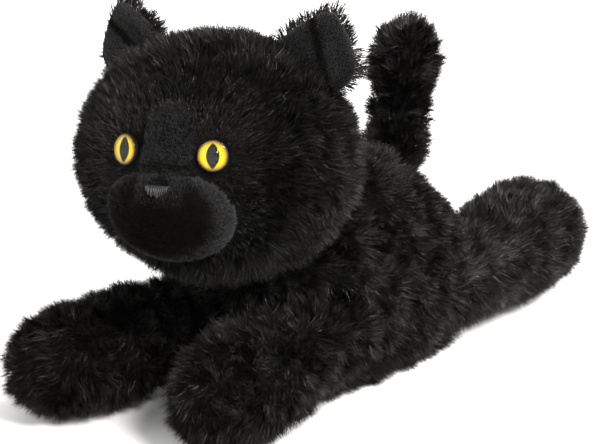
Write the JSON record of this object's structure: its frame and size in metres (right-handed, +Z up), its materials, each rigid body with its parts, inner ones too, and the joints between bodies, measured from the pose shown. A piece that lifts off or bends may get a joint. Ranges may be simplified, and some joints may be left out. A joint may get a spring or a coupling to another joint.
{
  "type": "plush cat",
  "caption": "Black long-pile plush cat lying on its belly, with yellow plastic eyes, a short-pile muzzle, folding ears, swinging legs, an upright tail and a turning head.",
  "frame": {"origin": "on the flat of the belly, on the floor, midway between the flanks", "axes": "+Z up, -Y towards the front paws, +X towards the cat's left flank"},
  "size_m": [0.1689, 0.2946, 0.1687],
  "materials": {
    "long_pile": "long black plush pile",
    "short_pile": "short shorn black pile",
    "polyester_fill": "loose polyester fibre",
    "bag_cloth": "plain woven",
    "plastic_pellets": "matt",
    "black_thread": "satin thread",
    "clear_acrylic": "polished",
    "yellow_iris": "painted, glossy",
    "black_plastic": "glossy",
    "white_plastic": "moulded"
  },
  "bodies": {
    "torso": {"torso_back_left": "long_pile", "torso_back_right": "long_pile", "torso_belly": "long_pile", "torso_stuffing": "polyester_fill", "torso_pellet_bag": "bag_cloth", "torso_pellets": "plastic_pellets"},
    "neck": {"neck_stuffing": "polyester_fill", "neck_seam_band": "long_pile"},
    "head": {"head_cover_left": "long_pile", "head_cover_right": "long_pile", "head_gusset": "long_pile", "chin_cover": "long_pile", "face_patch_left": "long_pile", "face_patch_right": "long_pile", "nose_bridge": "short_pile", "nose_top": "short_pile", "muzzle_cover": "short_pile", "muzzle_stuffing": "polyester_fill", "nose_embroidery": "black_thread", "head_stuffing": "polyester_fill", "eye_left_dome": "clear_acrylic", "eye_left_iris": "yellow_iris", "eye_left_pupil": "black_plastic", "eye_left_backing": "black_plastic", "eye_left_washer": "white_plastic", "eye_right_dome": "clear_acrylic", "eye_right_iris": "yellow_iris", "eye_right_pupil": "black_plastic", "eye_right_backing": "black_plastic", "eye_right_washer": "white_plastic"},
    "ear_left": {"ear_left_lining": "short_pile", "ear_left_back": "long_pile"},
    "ear_right": {"ear_right_lining": "short_pile", "ear_right_back": "long_pile"},
    "tail_base": {"tail_base_cover": "long_pile", "tail_base_stuffing": "polyester_fill"},
    "tail_tip": {"tail_tip_cover_left": "long_pile", "tail_tip_cover_right": "long_pile", "tail_tip_stuffing": "polyester_fill"},
    "knot_front_left": {"leg_front_left_knot": "black_thread"},
    "leg_front_left": {"leg_front_left_upper": "long_pile", "leg_front_left_sole": "long_pile", "leg_front_left_stuffing": "polyester_fill", "leg_front_left_bean_bag": "bag_cloth"},
    "knot_front_right": {"leg_front_right_knot": "black_thread"},
    "leg_front_right": {"leg_front_right_upper": "long_pile", "leg_front_right_sole": "long_pile", "leg_front_right_stuffing": "polyester_fill", "leg_front_right_bean_bag": "bag_cloth"},
    "knot_hind_left": {"leg_hind_left_knot": "black_thread"},
    "leg_hind_left": {"leg_hind_left_upper": "long_pile", "leg_hind_left_sole": "long_pile", "leg_hind_left_stuffing": "polyester_fill", "leg_hind_left_bean_bag": "bag_cloth"},
    "knot_hind_right": {"leg_hind_right_knot": "black_thread"},
    "leg_hind_right": {"leg_hind_right_upper": "long_pile", "leg_hind_right_sole": "long_pile", "leg_hind_right_stuffing": "polyester_fill", "leg_hind_right_bean_bag": "bag_cloth"}
  },
  "joints": [
    {"name": "neck_turn", "type": "hinge", "parent": "torso", "child": "neck", "pos_m": [0, -0.046, 0.1105], "axis": [0, 0, 1], "range_deg": [-60, 20]},
    {"name": "head_nod", "type": "hinge", "parent": "neck", "child": "head", "pos_m": [0, -0.046, 0.1105], "axis": [0.9205, 0.3907, 0], "range_deg": [-14, 12]},
    {"name": "ear_left_fold", "type": "hinge", "parent": "head", "child": "ear_left", "pos_m": [0.03015, -0.02338, 0.149], "axis": [0.6777, 0.4532, -0.5791], "range_deg": [-16, 18]},
    {"name": "ear_right_fold", "type": "hinge", "parent": "head", "child": "ear_right", "pos_m": [-0.04056, -0.05415, 0.14502], "axis": [0.7349, 0.1617, 0.6586], "range_deg": [-16, 18]},
    {"name": "shoulder_left_splay", "type": "hinge", "parent": "torso", "child": "knot_front_left", "pos_m": [0.024, -0.006, 0.03], "axis": [0, 0, 1], "range_deg": [-4, 22]},
    {"name": "shoulder_left_lift", "type": "hinge", "parent": "knot_front_left", "child": "leg_front_left", "pos_m": [0.024, -0.006, 0.03], "axis": [-0.9923, -0.124, 0], "range_deg": [0, 8]},
    {"name": "shoulder_right_splay", "type": "hinge", "parent": "torso", "child": "knot_front_right", "pos_m": [-0.025, -0.032, 0.029], "axis": [0, 0, -1], "range_deg": [-4, 22]},
    {"name": "shoulder_right_lift", "type": "hinge", "parent": "knot_front_right", "child": "leg_front_right", "pos_m": [-0.025, -0.032, 0.029], "axis": [-0.9773, 0.2118, 0], "range_deg": [0, 8]},
    {"name": "hip_left_splay", "type": "hinge", "parent": "torso", "child": "knot_hind_left", "pos_m": [0.0175, 0.065, 0.027], "axis": [0, 0, -1], "range_deg": [-3, 30]},
    {"name": "hip_left_lift", "type": "hinge", "parent": "knot_hind_left", "child": "leg_hind_left", "pos_m": [0.0175, 0.065, 0.027], "axis": [0.9846, 0.1749, 0], "range_deg": [0, 8]},
    {"name": "hip_right_splay", "type": "hinge", "parent": "torso", "child": "knot_hind_right", "pos_m": [-0.0185, 0.061, 0.027], "axis": [0, 0, 1], "range_deg": [-28, 12]},
    {"name": "hip_right_lift", "type": "hinge", "parent": "knot_hind_right", "child": "leg_hind_right", "pos_m": [-0.0185, 0.061, 0.027], "axis": [0.5547, 0.8321, 0], "range_deg": [0, 8]},
    {"name": "tail_swing", "type": "hinge", "parent": "torso", "child": "tail_base", "pos_m": [-0.017, 0.072, 0.062], "axis": [0, 1, 0], "range_deg": [-15, 14]},
    {"name": "tail_curl", "type": "hinge", "parent": "tail_base", "child": "tail_tip", "pos_m": [-0.028, 0.09, 0.09], "axis": [1, 0, 0], "range_deg": [-18, 18]}
  ]
}
